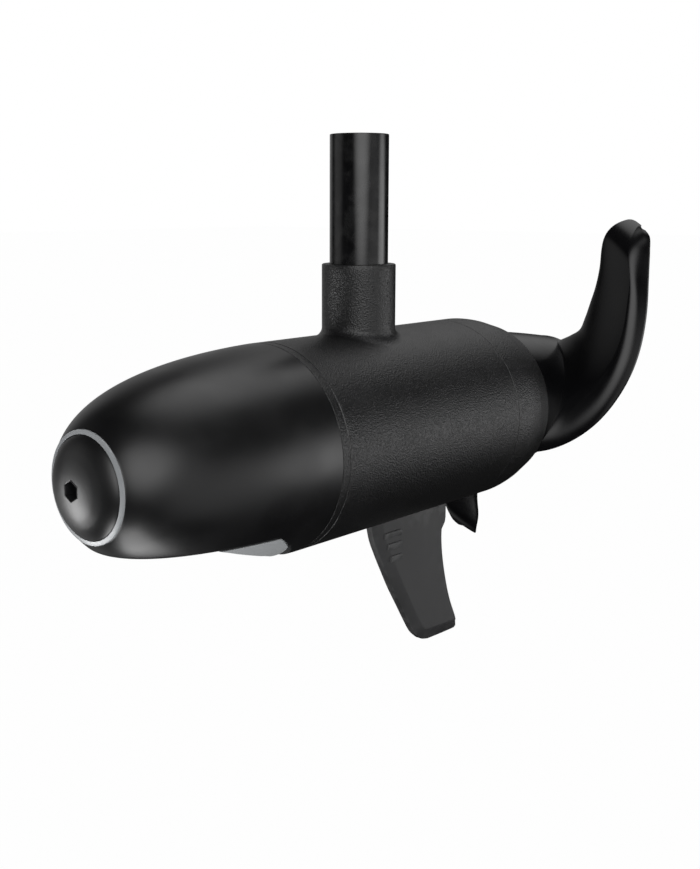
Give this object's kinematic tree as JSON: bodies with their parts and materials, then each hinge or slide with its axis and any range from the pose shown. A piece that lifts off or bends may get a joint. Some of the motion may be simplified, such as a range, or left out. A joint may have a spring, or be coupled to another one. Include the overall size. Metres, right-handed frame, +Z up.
{
  "type": "trolling motor lower unit",
  "caption": "Torpedo-shaped electric trolling motor lower unit with propeller, skeg fin, sonar lens and a round hanging shaft.",
  "frame": {"origin": "centre of the shaft's top end", "axes": "+Z up the shaft, +X from the nose to the propeller along the pod, +Y to port with the nose towards the viewer's left"},
  "size_m": [0.393, 0.1616, 0.3016],
  "materials": {
    "shaft_composite": "gloss black composite tube",
    "pod_powder_coat": "fine-textured black powder coat on aluminium",
    "nose_satin_black": "satin black moulded plastic",
    "trim_grey": "smooth grey plastic",
    "lens_grey": "matt grey acoustic plastic",
    "fin_plastic": "fine-grained dark grey moulded plastic",
    "propeller_black": "gloss black moulded composite",
    "bright_steel": "stainless steel",
    "cage_brass": "pressed brass",
    "zinc": "dull cast zinc",
    "rubber_black": "black nitrile rubber",
    "connector_black": "black nylon",
    "lead_sheath": "red and black silicone sheath",
    "phase_sheath": "yellow silicone sheath",
    "sonar_ceramic": "piezo-ceramic disc in potting resin",
    "cast_aluminium": "machined casting",
    "lamination_steel": "stacked electrical steel",
    "copper": "enamelled copper wire",
    "liner_plastic": "natural nylon",
    "board_green": "solder-masked glass laminate",
    "component_black": "black component cases",
    "magnet_nickel": "nickel-plated magnet"
  },
  "bodies": {
    "pod": {"shaft_tube": "shaft_composite", "lead_connector": "connector_black", "power_leads": "lead_sheath", "shaft_o_ring": "rubber_black", "motor_housing": "pod_powder_coat", "front_end_cap": "pod_powder_coat", "front_o_ring": "rubber_black", "through_bolts": "bright_steel", "bolt_seals": "rubber_black", "nose_cone": "nose_satin_black", "nose_trim_ring": "trim_grey", "nose_cap": "nose_satin_black", "nose_stud": "bright_steel", "transducer_lens": "lens_grey", "transducer_cup": "connector_black", "transducer_element": "sonar_ceramic", "transducer_cable": "rubber_black", "cable_grommet": "rubber_black", "tail_cover": "pod_powder_coat", "rear_o_ring": "rubber_black", "skeg_fin": "fin_plastic", "bearing_bulkhead": "cast_aluminium", "stator_core": "lamination_steel", "stator_windings": "copper", "slot_liners": "liner_plastic", "phase_leads": "phase_sheath", "drive_board": "board_green", "board_components": "component_black", "board_standoffs": "cage_brass", "sensor_board": "board_green", "preload_washer": "bright_steel", "front_bearing_outer": "bright_steel", "rear_bearing_outer": "bright_steel", "shaft_seals": "rubber_black", "seal_retainer": "bright_steel"},
    "rotor": {"motor_shaft": "bright_steel", "rotor_core": "lamination_steel", "rotor_magnets": "magnet_nickel", "sensor_magnet": "magnet_nickel", "front_bearing_inner": "bright_steel", "rear_bearing_inner": "bright_steel", "propeller": "propeller_black", "drive_pin": "bright_steel", "prop_washer": "bright_steel", "prop_anode": "zinc", "prop_nut": "bright_steel"},
    "front_ball_cage": {"front_bearing_balls": "bright_steel", "front_bearing_cage": "cage_brass"},
    "rear_ball_cage": {"rear_bearing_balls": "bright_steel", "rear_bearing_cage": "cage_brass"}
  },
  "joints": [
    {"name": "prop_spin", "type": "hinge", "parent": "pod", "child": "rotor", "pos_m": [0, 0, -0.16], "axis": [1, 0, 0], "continuous": true},
    {"name": "front_cage_spin", "type": "hinge", "parent": "pod", "child": "front_ball_cage", "pos_m": [-0.0185, 0, -0.16], "axis": [1, 0, 0], "continuous": true},
    {"name": "rear_cage_spin", "type": "hinge", "parent": "pod", "child": "rear_ball_cage", "pos_m": [0.0885, 0, -0.16], "axis": [1, 0, 0], "continuous": true}
  ],
  "couplings": [
    {"joint": "front_cage_spin", "follows": "prop_spin", "ratio": 0.3808},
    {"joint": "rear_cage_spin", "follows": "prop_spin", "ratio": 0.3808}
  ]
}
